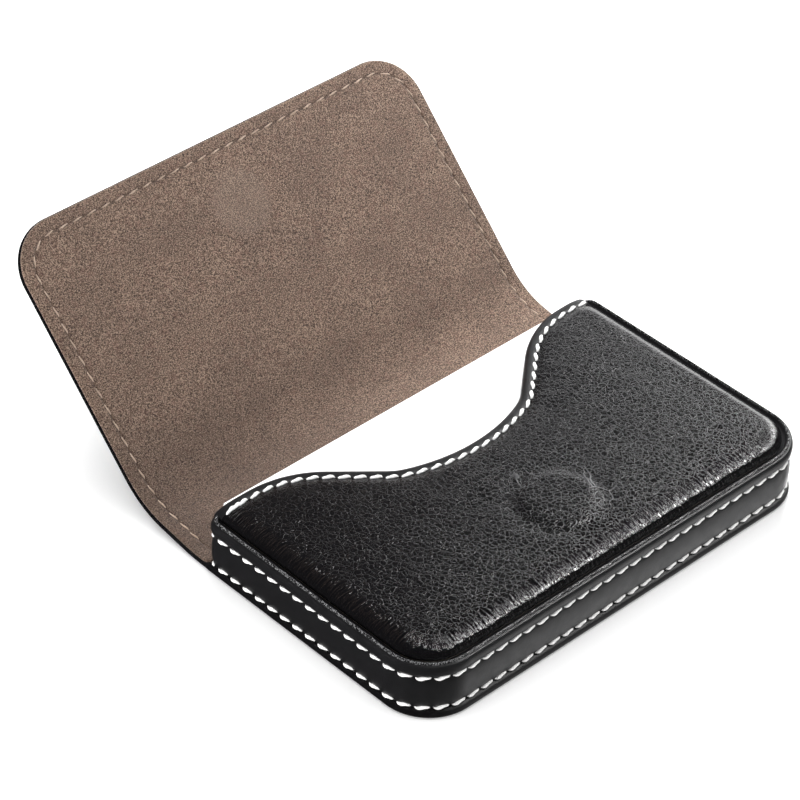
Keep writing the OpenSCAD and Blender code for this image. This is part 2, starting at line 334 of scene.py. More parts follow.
def rim_path(half, near, far, r, step, end_r=0.0):
    """Feet, outward directions and runs round three sides, from the left near end to the right."""
    n_side = int((near - end_r - far - r) / step)
    n_turn = int(r * math.pi / 2 / step) + 2
    side_v = np.linspace(near - end_r, far + r, n_side)
    turn = np.linspace(math.pi / 2, 0, n_turn)[1:-1]
    flat_x = np.linspace(r - half, 0, int((half - r) / step))
    feet = [
        np.stack([np.full(n_side, -half), side_v], 1),
        np.stack([r - half - r * np.sin(turn), far + r - r * np.cos(turn)], 1),
        np.stack([flat_x, np.full(len(flat_x), far)], 1),
    ]
    out = [
        np.tile([-1.0, 0.0], (n_side, 1)),
        np.stack([-np.sin(turn), -np.cos(turn)], 1),
        np.tile([0.0, -1.0], (len(flat_x), 1)),
    ]
    if end_r:
        bend = np.linspace(math.pi / 2, 0, 9)[:-1]
        end_centre = np.array([end_r - half, near - end_r])
        round_end = end_centre + end_r * np.stack([-np.cos(bend), np.sin(bend)], 1)
        feet = [round_end[[0]] + [0.9, 0], round_end] + feet
        out = [np.array([[0.0, 1.0]]), np.stack([-np.cos(bend), np.sin(bend)], 1)] + out
    left_feet, left_out = np.concatenate(feet), np.concatenate(out)
    feet = np.concatenate([left_feet, left_feet[-2::-1] * [-1, 1]])
    out = np.concatenate([left_out, left_out[-2::-1] * [-1, 1]])
    return feet, out, run_along(feet)


# ---------- relief of the front panel ----------


def edge_rise(depth):
    """Rise of the padded edge: steep out of the groove, then easing into the flat."""
    u = np.clip((depth - GROOVE_IN) / PUFF_W, 0, 1)
    return PUFF_H * (1 - (1 - u) ** 3.2) ** (1 / 2.2)


def front_height(x, y, depth, from_mouth):
    """Height of the front skin: round edges, a low crown and the magnet's bump."""
    rise = edge_rise(depth)
    crown = CROWN * smoothstep(5, 20, depth) * smoothstep(2, 12, from_mouth)
    full = rise + crown
    dip = BAND_DIP * bell(from_mouth, BAND_W, 1.3) * (from_mouth >= BAND_W - 0.01)
    waves = np.sin(0.31 * x + 0.8) * np.sin(0.23 * y + 0.27 * x)
    ripple = RIPPLE_H * waves * smoothstep(4, 9, depth)
    rho = np.hypot(x, y - FRONT_MAGNET_Y)
    bump = BUMP_H * (1 - smoothstep(BUMP_R - 1.3, BUMP_R + 1.2, rho))
    moat = MOAT_H * bell(rho, BUMP_R + 2.2, 1.3)
    return GROOVE_Z + full * (1 - dip) + ripple + bump - moat


def front_edge_depths():
    """Depths across the round edge, closest where it is steepest, then on to the corner centre."""
    share = np.linspace(0, 1, 20) ** 1.8
    edge = GROOVE_IN + PUFF_W * share
    return np.concatenate([edge, np.linspace(edge[-1], CORNER_R, 5)[1:]])


def front_skin(material):
    """Padded, pebbled leather over the front."""
    values, quads = tray(
        front_edge_depths(), HALF, CLOSED_Y, CORNER_R,
        lambda x: mouth_y_at(x, BAND_W), int(2 * (HALF - CORNER_R) / GRID), 84,
    )
    x, y, depth, out_x, _, run, _ = values.T
    from_mouth = np.maximum(mouth_distance(x, y), BAND_W)
    z = front_height(x, y, depth, from_mouth)
    rho = np.hypot(x, y - FRONT_MAGNET_Y)
    lean = np.arctan2(y - FRONT_MAGNET_Y, x)
    sector = bell(lean, -0.3, 0.7) + 0.7 * bell(lean, 1.7, 0.45)
    stress = bell(rho, BUMP_R + 1.5, 2.6) * sector
    attributes = {
        "edge": 1 - smoothstep(4.2, 6.8, depth),
        "stress": stress,
        "rim": np.stack([run, depth, np.clip(1.1 - out_x, 0.1, 1)], 1),
    }
    piece = make_piece("front_skin", np.stack([x, y, z], 1), quads, material, (0, 0, 1), attributes)
    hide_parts("front_leather")
    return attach(piece, "case")


def foam_pad(material):
    """The foam under the front skin: its top follows the skin, and its bottom is flat."""
    depths = np.concatenate([np.linspace(2.5, 8.0, 9), [CORNER_R]])
    values, quads = tray(
        depths, HALF, CLOSED_Y, CORNER_R, lambda x: mouth_y_at(x, BAND_W + 0.5), 60, 36, 12
    )
    x, y, depth = values.T[:3]
    z = front_height(x, y, depth, np.full(len(x), BAND_W)) - LEATHER_T
    z = np.maximum(z, FOAM_Z + 0.3)
    top = np.stack([x, y, z], 1)
    under = np.stack([x, y, np.full(len(x), FOAM_Z + 0.01)], 1)
    points = np.concatenate([top, under])
    piece = make_piece("foam_pad", points, np.concatenate([quads, quads + len(top)]), material, (0, 0, 1))
    close_border(piece)
    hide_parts("front_foam")
    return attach(piece, "case")


def close_border(piece):
    """Joins the two open borders of a piece made of two matching sheets."""
    work = bmesh.new()
    work.from_mesh(piece.data)
    border = [edge for edge in work.edges if edge.is_boundary]
    bmesh.ops.bridge_loops(work, edges=border)
    bmesh.ops.recalc_face_normals(work, faces=work.faces)
    work.to_mesh(piece.data)
    work.free()


def mouth_band(material):
    """Smooth leather turned over the edge of the front panel.

    The top rings are (inset, share of the height lost) and the wall rings (inset, z).
    """
    limit = HALF - GROOVE_IN - 0.05
    band_bottom = POCKET_TOP_Z + 0.03
    top = [(2.5, 0.26), (2.2, 0.20), (1.9, 0.135), (1.5, 0.09), (1.1, 0.075), (0.75, 0.10),
           (0.45, 0.17), (0.2, 0.29), (0.06, 0.42)]
    wall = [(0.0, 12.1), (0.0, 11.4), (0.1, 11.05), (0.35, band_bottom), (2.4, band_bottom)]
    rings = []
    for inset, share in top:
        line = mouth_line(inset)
        x = np.clip(line[:, 0], -limit, limit)
        depth = HALF - np.abs(x)
        full = edge_rise(depth)
        rings.append(np.stack([x, line[:, 1], GROOVE_Z + full * (1 - share)], 1))
    for inset, z in wall:
        line = mouth_line(inset)
        x = np.clip(line[:, 0], -limit, limit)
        rings.append(np.stack([x, line[:, 1], np.full(len(x), z)], 1))
    points, quads = join_grids([np.stack(rings)])
    piece = make_piece("mouth_band", points, quads, material, (0, 0.2, 1))
    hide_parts("mouth_binding")
    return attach(piece, "case")


# ---------- sides ----------

# (depth, z) across the side leather, from under the lower seam to the groove round the front
LOWER_SEAM_BED = [(1.3, 1.5), (0.95, 1.72), (0.74, 1.95), (0.66, 2.2), (0.52, 2.5), (0.38, 2.95)]
STRIP = [(0.24, 3.7), (0.15, 4.6), (0.12, 5.6), (0.14, 6.6), (0.22, 7.6), (0.34, 8.5)]
UPPER_SEAM_BED = [(0.48, 9.1), (0.64, 9.5), (0.60, 9.8), (0.38, 10.05), (0.16, 10.35)]
ROLL = [(0.03, 10.8), (0.0, 11.3), (0.04, 11.8), (0.16, 12.2), (0.34, 12.48), (0.54, 12.6)]
BEAD = [(0.66, 12.56), (0.74, 12.68), (0.82, 12.92), (0.94, 13.04), (1.08, 13.02), (1.2, 12.9)]
GROOVE = [(1.34, 12.62), (1.55, 12.3), (1.8, 12.1), (2.4, 12.0), (2.75, 11.96)]
SIDE_PROFILE = LOWER_SEAM_BED + STRIP + UPPER_SEAM_BED + ROLL + BEAD + GROOVE


def skewed(feet):
    """The right end of the rim reaches out as far as the mouth's right shelf."""
    reach = SKEW * smoothstep(MOUTH_Y - 14, MOUTH_Y - 2, feet[:, 1]) * (feet[:, 0] > 0)
    return feet + np.column_stack([np.zeros(len(feet)), reach])


def side_skin(material):
    """Smooth leather round the three closed sides, pulled in along its two seams."""
    feet, out, run = rim_path(
        HALF + SWELL, MOUTH_Y + 0.06, CLOSED_Y - SWELL, CORNER_R + SWELL, 0.35, END_R
    )
    feet = skewed(feet)
    holes = 0.5 + 0.5 * np.cos(2 * math.pi * (run - run[-1] / 2) / STITCH_PITCH + math.pi)
    rings, bead = [], []
    for depth, z in SIDE_PROFILE:
        pull = bell(z, UPPER_SEAM_Z, 0.3) + bell(z, LOWER_SEAM_Z - SEAM_DROP, 0.3)
        inset = depth + SEAM_PULL * pull * holes
        foot = feet - inset[:, None] * out
        rings.append(np.column_stack([foot, np.full(len(foot), z)]))
        bead.append(np.full(len(foot), float(z > 12.65 and depth > 0.7)))
    points, quads = join_grids([capped(np.stack(rings, 1))])
    bead = np.pad(np.stack(bead, 1), ((1, 1), (0, 0))).ravel()
    piece = make_piece("side_skin", points, quads, material, (0, 0, 1), {"bead": bead})
    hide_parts("side_leather")
    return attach(piece, "case")


# ---------- the sheet: back, spine and flap ----------

N_OUT = -SHEET_T / 2
N_IN = SHEET_T / 2
SEAM_DEPTHS = [2.5, 2.72, 2.86, 3.0, 3.14, 3.28, 3.5]
SEAM_DIPS = [0.0, 0.02, 0.07, 0.1, 0.07, 0.02, 0.0]
INNER_DEPTHS = [4.4, 6.0, 8.2, CORNER_R]
MID_SPINE = SPINE_LEN / 2


def round_points(centre, radius, start, end, n):
    """A list of n points on an arc between two angles in degrees."""
    a = np.radians(np.linspace(start, end, n))
    return [(centre[0] + radius * math.cos(b), centre[1] + radius * math.sin(b)) for b in a]


def leather_edge():
    """(depth, n) of the leather across the sheet's edge, from its inner lip to the middle."""
    lip = [(0.5, 0.30), (0.16, 0.30), (0.04, 0.24), (0.0, 0.1)]
    turn = round_points((0.55, -0.35), 0.55, 180, 270, 6)
    seam = [(d, N_OUT + dip) for d, dip in zip(SEAM_DEPTHS, SEAM_DIPS)]
    return np.array(lip + turn + [(1.4, N_OUT)] + seam + [(d, N_OUT) for d in INNER_DEPTHS])


def case_edge():
    """(depth, n) of the same points where the leather turns up round the back of the case."""
    lip = [(0.75, 1.05), (0.40, 1.0), (0.06, 0.86), (-0.18, 0.6)]
    turn = round_points((0.62, 0.0), 0.9, 180, 270, 6)
    flat = [(d, N_OUT) for d in [1.4] + SEAM_DEPTHS + INNER_DEPTHS]
    return np.array(lip + turn + flat)


def lining_edge():
    """(depth, n) of the suede across the sheet's edge."""
    under = [(0.6, 0.36), (0.24, 0.40), (0.16, 0.5), (0.17, 0.62)]
    turn = round_points((0.5, 0.58), 0.32, 160, 90, 5)
    seam = [(d, N_IN - 1.3 * dip) for d, dip in zip(SEAM_DEPTHS, SEAM_DIPS)]
    return np.array(under + turn + [(1.4, N_IN)] + seam + [(d, N_IN) for d in INNER_DEPTHS])


def back_sheet(name, edge, case_profile, material, up):
    """The sheet's first part, from the closed side to the middle of the spine."""
    near = FOLD_1[0] + MID_SPINE
    columns = int(2 * (HALF - CORNER_R) / 1.2)
    values, quads = tray(
        edge[:, 0], HALF, CLOSED_Y - SWELL, CORNER_R, lambda x: near + 0 * x, columns, 150
    )
    x, v, depth, out_x, out_v, _, number = values.T
    number = number.astype(int)
    on_case = 1 - smoothstep(MOUTH_Y - 1.0, MOUTH_Y + 0.8, v)
    shift = on_case * (edge[number, 0] - case_profile[number, 0])
    n = edge[number, 1] + on_case * (case_profile[number, 1] - edge[number, 1])
    points = sheet_point(x + shift * out_x, v + shift * out_v - FOLD_1[0], n)
    attributes = {"fold_shade": painted_fold_shade(x, v - near), "lip": 1 - smoothstep(0.6, 2.4, depth)}
    piece = make_piece(name, points, quads, material, (0, 0, up), attributes)
    return blend_spine(piece)


def flap_sheet(name, edge, material, up, attributes=None):
    """The sheet's last part, from the middle of the spine to the flap's free edge."""
    columns = int(2 * (HALF - CORNER_R) / 1.0)
    values, quads = tray(
        edge[:, 0], HALF, -FLAP_LEN, CORNER_R, lambda x: MID_SPINE + 0 * x, columns, 110
    )
    x, v = values.T[:2]
    n = edge[values[:, -1].astype(int), 1]
    points = sheet_point(x, SPINE_LEN - v, n)
    attributes = {key: make(x, -v) for key, make in (attributes or {}).items()}
    outward = up * np.array([0, -math.sin(FLAP_ANGLE), math.cos(FLAP_ANGLE)])
    piece = make_piece(name, points, quads, material, outward, attributes)
    return blend_flap(piece)


def blend_flap(piece):
    """Bakes a piece's placement into its mesh; the bend over the second fold is already in its points."""
    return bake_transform(piece)


def blend_spine(piece):
    """Bakes a piece's placement into its mesh; the bend over the first fold is already in its points."""
    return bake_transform(piece)


def magnet_disc(x, along):
    """1 over the magnet under the flap's lining, and 0 away from it."""
    rho = np.hypot(x, along - FLAP_MAGNET_RUN)
    return 1 - smoothstep(6.2, 7.6, rho)


def painted_fold_shade(x, along):
    """Share of painted shade: most at the left end of the folds."""
    return smoothstep(30, -45, x) * (1 - smoothstep(-6, 26, along))


def seam_line(x, along):
    """1 on the line of the flap's seam, and 0 a little way off."""
    depth = np.minimum(HALF - np.abs(x), FLAP_LEN - along)
    corner = np.hypot(np.abs(x) - HALF + CORNER_R, along - FLAP_LEN + CORNER_R)
    in_corner = (np.abs(x) > HALF - CORNER_R) & (along > FLAP_LEN - CORNER_R)
    depth = np.where(in_corner, CORNER_R - corner, depth)
    return bell(depth, FLAP_SEAM_IN, 0.3)


def sheet_pieces(leather, suede):
    """Leather outside and suede inside, each parted at the middle of the spine."""
    skin = back_sheet("back_skin", leather_edge(), case_edge(), leather, -1)
    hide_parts("back_leather", "spine_leather")
    inner = lining_edge()
    floor = inner + [2.05, 0]
    lining = back_sheet("back_lining", inner, floor, suede, 1)
    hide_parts("pocket_lining_back", "spine_lining")
    skin = flap_sheet("flap_skin", leather_edge(), leather, -1)
    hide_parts("flap_leather")
    marks = {"disc": magnet_disc, "seam": seam_line, "fold_shade": painted_fold_shade}
    lining = flap_sheet("flap_suede", inner, suede, 1, marks)
    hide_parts("flap_lining")


def board_outline(body, half, y0, y1, ease):
    """Outline of a board, drawn in by ease; the flap's board has two round corners."""
    corners = [(-half + ease, y0 + ease), (half - ease, y0 + ease)]
    if body == "spine":
        return corners + [(half - ease, y1 - ease), (-half + ease, y1 - ease)]
    turn = CORNER_R - BOARD_IN
    quarter = np.linspace(0, math.pi / 2, 9)
    for side, angles in ((1, quarter), (-1, quarter[::-1])):
        for a in angles:
            x = side * (half - turn + (turn - ease) * math.cos(a))
            corners.append((x, y1 - turn + (turn - ease) * math.sin(a)))
    return corners


def board(name, node, body, y0, y1, angle, origin, material):
    """A cut greyboard stiffener with eased edges, flat on its body."""
    along, up = direction(np.array(angle)), upright(np.array(angle))
    rings = []
    for ease, n in ((0.12, -0.28), (0.0, -0.16), (0.0, 0.26), (0.12, 0.38)):
        corners = board_outline(body, HALF - BOARD_IN, y0, y1, ease)
        outline = np.array(corners + corners[:1])
        place = origin + outline[:, 1:2] * along + n * up
        rings.append(np.column_stack([outline[:, 0], place]))
    points, quads = join_grids([capped(np.stack(rings))])
    piece = make_piece(name, points, quads, material, (0, 0, 1))
    flatten(piece)
    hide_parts(node)
    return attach(piece, body)


# ---------- seams ----------


def stitch_frames(path, ups, centres, length, slant):
    """Middle, length, side and up directions of each stitch."""
    run = run_along(path)

    def at(places, values):
        return np.stack([np.interp(places, run, values[:, i]) for i in range(3)], 1)

    along = at(centres + length / 2, path) - at(centres - length / 2, path)
    along /= np.linalg.norm(along, axis=1, keepdims=True)
    up = at(centres, ups)
    up -= (up * along).sum(1, keepdims=True) * along
    up /= np.linalg.norm(up, axis=1, keepdims=True)
    turned = math.cos(slant) * along + math.sin(slant) * np.cross(up, along)
    return at(centres, path), turned, np.cross(up, turned), up


def twisted_stitch(radius):
    """One plump stitch of two twisted strands: places along it, and its section across and above."""
    a = np.sin(np.linspace(-math.pi / 2, math.pi / 2, 19))
    around = np.linspace(0, 2 * math.pi, 11)
    thick = radius * np.sqrt(np.clip(1 - np.abs(a) ** 8, 0, 1)) * (1 - 0.36 * a**2)
    lift = radius * (0.5 - 1.1 * np.abs(a) ** 5)
    sway = 0.08 * np.sin(math.pi * a) * radius / THREAD_R
    lobes = 1 + 0.13 * np.cos(2 * (around[None, :] - 2.6 * a[:, None]))
    across = thick[:, None] * lobes * np.cos(around) * 1.05 + sway[:, None]
    above = thick[:, None] * lobes * np.sin(around) * 0.85 + lift[:, None]
    return a, across, above


def stitches(name, path, ups, material, length, radius, slant, pitch=STITCH_PITCH, tacks=()):
    """Separate twisted stitches along a path, each dipping into its needle holes."""
    whole = run_along(path)[-1]
    count = round(whole / pitch)
    centres = np.sort(np.concatenate([(np.arange(count) + 0.5) * whole / count, tacks]))
    middle, along, side, up = stitch_frames(path, ups, centres, length, slant)
    a, across, above = twisted_stitch(radius)
    points = (
        middle[:, None, None]
        + (a * length / 2)[None, :, None, None] * along[:, None, None]
        + across[None, :, :, None] * side[:, None, None]
        + above[None, :, :, None] * up[:, None, None]
    )
    points, quads = join_grids(list(points))
    return make_piece(name, points, quads, material, (0, 0, 1))


def resample(path, step):
    """Points on a path at an even step."""
    run = run_along(path)
    places = np.arange(0, run[-1], step)
    return np.stack([np.interp(places, run, path[:, i]) for i in range(path.shape[1])], 1)


def side_seams(material):
    """Two rows of white stitches round the closed sides."""
    feet, out, _ = rim_path(
        HALF + SWELL, MOUTH_Y - 0.6, CLOSED_Y - SWELL, CORNER_R + SWELL, 0.35, END_R - 0.6
    )
    feet = skewed(feet)
    ups = np.column_stack([out, np.zeros(len(out))])
    for name, z, depth in (
        ("upper_stitches", UPPER_SEAM_Z, 0.58),
        ("lower_stitches", LOWER_SEAM_Z - SEAM_DROP, 0.60),
    ):
        path = np.column_stack([feet - depth * out, np.full(len(feet), z)])
        piece = stitches(name, path, ups, material, STITCH_LEN, THREAD_R, SLANT)
        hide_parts(name.replace("stitches", "seam_thread"))
        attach(piece, "case")


def mouth_seam(material):
    """White stitches along the mouth, over the inner edge of the band."""
    line = resample(mouth_line(BAND_W + 0.05), 0.2)
    line = line[np.abs(line[:, 0]) < HALF - 2.6]
    x, y = line.T
    depth = np.minimum(HALF - np.abs(x), y - CLOSED_Y)
    z = front_height(x, y, depth, np.full(len(x), BAND_W))
    path = np.column_stack([x, y, z])
    ups = np.tile([0.0, 0.0, 1.0], (len(x), 1))
    piece = stitches("mouth_stitches", path, ups, material, MOUTH_STITCH_LEN, THREAD_R, SLANT,
                     MOUTH_PITCH, MOUTH_TACKS)
    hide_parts("mouth_seam_thread")
    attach(piece, "case")


def sheet_seam(name, x, run, level, sign, material, radius, length):
    """One seam of the sheet, level with its suede (sign 1) or with its leather (sign -1)."""
    path = sheet_point(x, run, np.full(len(x), level))
    ups = sheet_point(x, run, np.full(len(x), level + sign)) - path
    return stitches(name, path, ups, material, length, radius, FLAP_SLANT)


def sheet_seams(white, tan):
    """Seams down both sides of the spine and round the flap, on both faces of the sheet."""
    feet, _, _ = rim_path(
        HALF - FLAP_SEAM_IN, MID_SPINE, FLAP_SEAM_IN - FLAP_LEN, CORNER_R - FLAP_SEAM_IN, 0.35
    )
    run = np.arange(1.6, MID_SPINE, 0.3)
    seam_x = np.full(len(run), HALF - FLAP_SEAM_IN)
    routes = {
        "left_spine": (-seam_x, run),
        "right_spine": (seam_x, run),
        "flap": (feet[:, 0], SPINE_LEN - feet[:, 1]),
    }
    faces = {
        "inner": (N_IN - 0.10, 1, tan, FINE_THREAD_R, FINE_STITCH_LEN),
        "outer": (N_OUT + 0.08, -1, white, OUTER_THREAD_R, OUTER_STITCH_LEN),
    }
    for face, settings in faces.items():
        for spot, (x, run) in routes.items():
            piece = sheet_seam(f"{spot}_{face}_stitches", x, run, *settings)
            if spot == "flap":
                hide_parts(f"flap_{face}_thread")
                blend_flap(piece)
            else:
                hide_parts(f"spine_{face}_thread")
                blend_spine(piece)


# ---------- cards ----------


CARD_COUNT = 21
CARD_GAP = 0.02
CARD_SEED = 7


def card(x0, x1, y0, y1, z, thick, slip, twist):
    """Rings of one card with eased edges, moved by slip and turned by twist."""
    rings = []
    for ease, h in ((0.04, 0), (0, 0.05), (0, thick - 0.05), (0.04, thick)):
        left, right = x0 + ease, x1 - ease
        near, far = y0 + ease, y1 - ease
        ring = np.array([(left, near), (right, near), (right, far), (left, far), (left, near)])
        ring = ring + slip + twist * ring[:, ::-1] * [-1, 1]
        rings.append(np.column_stack([ring, np.full(5, z + h)]))
    return capped(np.stack(rings), 4)


def cards(material):
    """A stack of plain cards, each a hair out of line with the next."""
    low, high = box_mm("card_stack")
    pitch = (high[2] - low[2] + CARD_GAP) / CARD_COUNT
    random = np.random.default_rng(CARD_SEED)
    grids = []
    for i in range(CARD_COUNT):
        slip = random.uniform([-0.2, -0.03], [0.2, 0.1])
        twist = random.uniform(-0.0006, 0.0006)
        z = low[2] + i * pitch
        grids.append(card(low[0], high[0], low[1], high[1], z, pitch - CARD_GAP, slip, twist))
    points, quads = join_grids(grids)
    piece = make_piece("cards", points, quads, material, (0, 0, 1))
    flatten(piece)
    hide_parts("card_stack")
    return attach(piece, "cards")


# ---------- materials ----------


def add_node(tree, kind, inputs=None, **settings):
    """A shader node; an input's value is a number, a colour or another node's output."""
    made = tree.nodes.new("ShaderNode" + kind)
    for key, value in settings.items():
        setattr(made, key, value)
    for key, value in (inputs or {}).items():
        if isinstance(value, bpy.types.NodeSocket):
            tree.links.new(value, made.inputs[key])
        else:
            made.inputs[key].default_value = value
    return made


def calc(tree, operation, *values):
    return add_node(tree, "Math", dict(enumerate(values)), operation=operation).outputs[0]


def multiply(tree, first, second):
    return calc(tree, "MULTIPLY", first, second)


def inverse(tree, value):
    return calc(tree, "SUBTRACT", 1.0, value)


def remap(tree, value, low, high, to_low=0.0, to_high=1.0):
    made = add_node(tree, "MapRange", {0: value, 1: low, 2: high, 3: to_low, 4: to_high},
                    interpolation_type="SMOOTHSTEP")
    return made.outputs[0]


def mix_colours(tree, share, first, second):
    """A mix of two colours, each three numbers or another node's output."""
    first, second = (c if isinstance(c, bpy.types.NodeSocket) else (*c, 1) for c in (first, second))
    made = add_node(tree, "Mix", {0: share, 6: first, 7: second}, data_type="RGBA")
    return made.outputs[2]


def tint(tree, base, share, amount, colour):
    """Lays a colour over base, by amount where share is 1."""
    return mix_colours(tree, multiply(tree, share, amount), base, colour)


def attribute(tree, name, output="Fac"):
    return add_node(tree, "Attribute", attribute_name=name).outputs[output]


def millimetres(tree, offset=(0, 0, 0)):
    """Object coordinates in millimetres."""
    place = add_node(tree, "TexCoord").outputs["Object"]
    made = add_node(tree, "Mapping", {"Vector": place, "Scale": (1000, 1000, 1000), "Location": offset})
    return made.outputs[0]


def noise(tree, vector, scale, detail=2.0, roughness=0.5, output="Fac"):
    made = add_node(tree, "TexNoise", {"Vector": vector, "Scale": scale, "Detail": detail,
                                       "Roughness": roughness})
    return made.outputs[output]


def warped(tree, vector, scale, amount):
    """A vector pushed about by a noise; amount is the noise's whole range in millimetres."""
    push = noise(tree, vector, scale, 1.0, output="Color")
    centred = add_node(tree, "VectorMath", {0: push, 1: (0.5, 0.5, 0.5)}, operation="SUBTRACT")
    scaled = add_node(tree, "VectorMath", {0: centred.outputs[0], "Scale": amount}, operation="SCALE")
    moved = add_node(tree, "VectorMath", {0: vector, 1: scaled.outputs[0]}, operation="ADD")
    return moved.outputs[0]


def cells(tree, vector, scale):
    """Distance to the nearest edge between cells."""
    made = add_node(tree, "TexVoronoi", {"Vector": vector, "Scale": scale}, feature="DISTANCE_TO_EDGE")
    return made.outputs["Distance"]


def bump(tree, height, distance, strength=1.0, normal=None):
    """A normal bent by a height that spans distance millimetres."""
    inputs = {"Height": height, "Distance": distance * MM, "Strength": strength}
    if normal is not None:
        inputs["Normal"] = normal
    return add_node(tree, "Bump", inputs).outputs[0]


def new_material(name, **shader):
    """A material with constants set on its shader; a socket's spaces are underscores here."""
    made = bpy.data.materials.new(name)
    made.use_nodes = True
    bsdf = made.node_tree.nodes["Principled BSDF"]
    for key, value in shader.items():
        bsdf.inputs[key.replace("_", " ")].default_value = value
    return made, made.node_tree, bsdf


def connect(tree, bsdf, **sockets):
    for key, value in sockets.items():
        tree.links.new(value, bsdf.inputs[key.replace("_", " ")])


def pebble_grain(tree, place):
    """(height, crease lines) of the pebbled grain: small low cells parted by fine creases."""
    moved = warped(tree, place, 0.8, 0.9)
    gap = cells(tree, moved, 0.95)
    scales = add_node(tree, "Mapping", {"Vector": moved, "Rotation": (0, 0, -0.72),
                                        "Scale": (1.1, 2.6, 1.5)}).outputs[0]
    height = multiply(tree, remap(tree, gap, 0.0, 0.5), 0.3)
    for layer, amount in (
        (remap(tree, gap, 0.0, 0.10), 0.35),
        (remap(tree, cells(tree, scales, 1.0), 0.0, 0.2), 0.35),
        (noise(tree, place, 5.0, 3.0), 0.2),
    ):
        height = calc(tree, "MULTIPLY_ADD", layer, amount, height)
    return height, inverse(tree, remap(tree, gap, 0.006, 0.034))


def edge_wrinkles(tree):
    """Short wrinkles across the round edge, faint along the right side."""
    place = attribute(tree, "rim", "Vector")
    rim = add_node(tree, "Mapping", {"Vector": place, "Scale": (1.7, 0.24, 0.0)}).outputs[0]
    tight = add_node(tree, "SeparateXYZ", {0: place}).outputs[2]
    streak = noise(tree, warped(tree, rim, 1.2, 0.35), 1.0, 2.5, 0.6)
    return multiply(tree, remap(tree, streak, 0.35, 0.65), tight)


def magnet_cracks(tree, place):
    """A few long creases where the leather is stretched round the magnet."""
    crack = cells(tree, warped(tree, place, 0.35, 2.2), 0.22)
    crack = inverse(tree, remap(tree, crack, 0.0, 0.035))
    return multiply(tree, crack, attribute(tree, "stress"))


def painted_crease_highlight(tree, place, line, edge):
    """Painted highlight along the creases, standing in for light caught on their edges: in patches,
    broken up, and hardly any on the round edge.
    """
    patches = remap(tree, noise(tree, place, 0.35, 2.0), 0.40, 0.66, 0.08, 1.0)
    breaks = remap(tree, noise(tree, place, 1.3, 1.0), 0.44, 0.6, 0.05, 1.0)
    inside = calc(tree, "MULTIPLY_ADD", edge, -0.85, 1.0)
    pale = line
    for share in (patches, breaks, inside):
        pale = multiply(tree, pale, share)
    return pale


def grain_leather():
    """Black pebbled leather: a soft sheen, glossier and wrinkled over the round edges."""
    made, tree, bsdf = new_material("grain_leather", Specular_IOR_Level=0.5)
    place = millimetres(tree)
    height, line = pebble_grain(tree, place)
    crack = magnet_cracks(tree, place)
    edge, lip = attribute(tree, "edge"), attribute(tree, "lip")
    flat = inverse(tree, multiply(tree, calc(tree, "ADD", edge, lip), 0.88))
    normal = bump(tree, multiply(tree, height, flat), 0.06)
    normal = bump(tree, multiply(tree, edge_wrinkles(tree), edge), 0.17, normal=normal)
    normal = bump(tree, crack, 0.05, normal=normal)
    pale = painted_crease_highlight(tree, place, line, edge)
    # painted highlight: the pale crease lines stand in for light caught on the crease edges
    base = tint(tree, (0.0036, 0.0033, 0.0038), pale, 0.8, (0.018, 0.017, 0.019))
    base = tint(tree, base, crack, 0.7, (0.15, 0.15, 0.155))
    rough = remap(tree, edge, 0.0, 1.0, 0.22, 0.11)
    rough = calc(tree, "MULTIPLY_ADD", line, 0.08, rough)
    rough = calc(tree, "MULTIPLY_ADD", lip, 0.4, rough)
    connect(tree, bsdf, Base_Color=base, Roughness=rough, Normal=normal)
    return made


def smooth_leather():
    """Black satin leather with hardly any grain; the bead by the groove is glossier and carries painted
    highlight dots.
    """
    made, tree, bsdf = new_material("smooth_leather", Specular_IOR_Level=0.4)
    place = millimetres(tree)
    soft = noise(tree, place, 0.5, 3.0)
    pores = remap(tree, cells(tree, warped(tree, place, 1.2, 0.5), 2.4), 0.0, 0.2)
    bead = attribute(tree, "bead")
    normal = bump(tree, calc(tree, "MULTIPLY_ADD", pores, 0.25, soft), 0.03)
    dots = remap(tree, cells(tree, place, 1.6), 0.0, 0.3)
    normal = bump(tree, multiply(tree, dots, bead), 0.1, normal=normal)
    base = mix_colours(tree, soft, (0.006, 0.006, 0.0065), (0.012, 0.0115, 0.0125))
    # painted highlight: pale dots on the bead stand in for its glints
    fleck = remap(tree, noise(tree, place, 4.2, 1.0), 0.5, 0.6)
    base = tint(tree, base, multiply(tree, fleck, bead), 0.7, (0.26, 0.26, 0.265))
    rough = remap(tree, soft, 0.2, 0.8, 0.36, 0.46)
    rough = calc(tree, "SUBTRACT", rough, multiply(tree, bead, 0.2))
    connect(tree, bsdf, Base_Color=base, Roughness=rough, Normal=normal)
    return made


